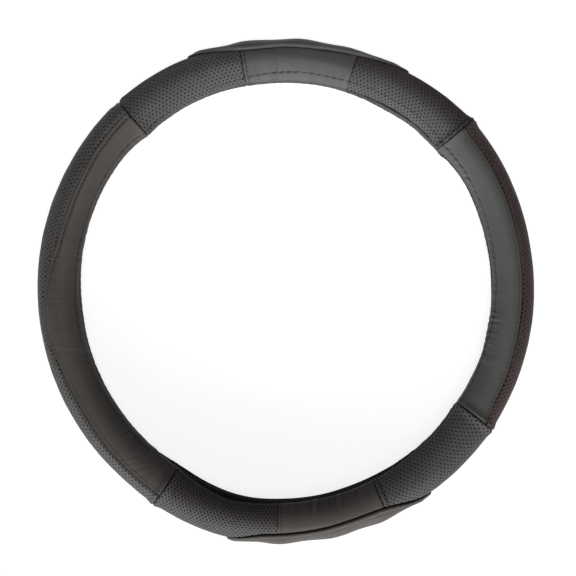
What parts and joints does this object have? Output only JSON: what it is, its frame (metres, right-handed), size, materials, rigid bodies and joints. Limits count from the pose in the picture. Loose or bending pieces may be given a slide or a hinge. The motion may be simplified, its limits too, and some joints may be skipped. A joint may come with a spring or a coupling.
{
  "type": "steering wheel cover",
  "caption": "Soft slip-on ring of C-shaped section for a steering wheel: sewn smooth and perforated leather panels with padded finger grips over a ribbed rubber channel.",
  "frame": {"origin": "on the surface that the cover lies on, under the middle of its outline", "axes": "+Z out of the front face, which the driver sees; +Y towards the top of the wheel; +X to the driver's right"},
  "size_m": [0.384, 0.3934, 0.037],
  "materials": {
    "smooth_leather": "satin, fine grain, charcoal",
    "perforated_leather": "satin, punched with small round holes",
    "rubber": "moulded, smooth, slightly glossy black",
    "thread": "twisted polyester sewing thread, dark grey"
  },
  "bodies": {
    "root": {"rubber_upper_right": "rubber", "rubber_upper_left": "rubber", "rubber_lower_left": "rubber", "rubber_lower_right": "rubber", "top_panel": "smooth_leather", "bottom_panel": "smooth_leather", "left_smooth_strip": "smooth_leather", "right_smooth_strip": "smooth_leather", "upper_left_panel": "perforated_leather", "upper_right_panel": "perforated_leather", "lower_left_panel": "perforated_leather", "lower_right_panel": "perforated_leather", "left_perforated_strip": "perforated_leather", "right_perforated_strip": "perforated_leather", "top_grip_pad": "smooth_leather", "bottom_grip_pad": "smooth_leather"}
  },
  "joints": []
}
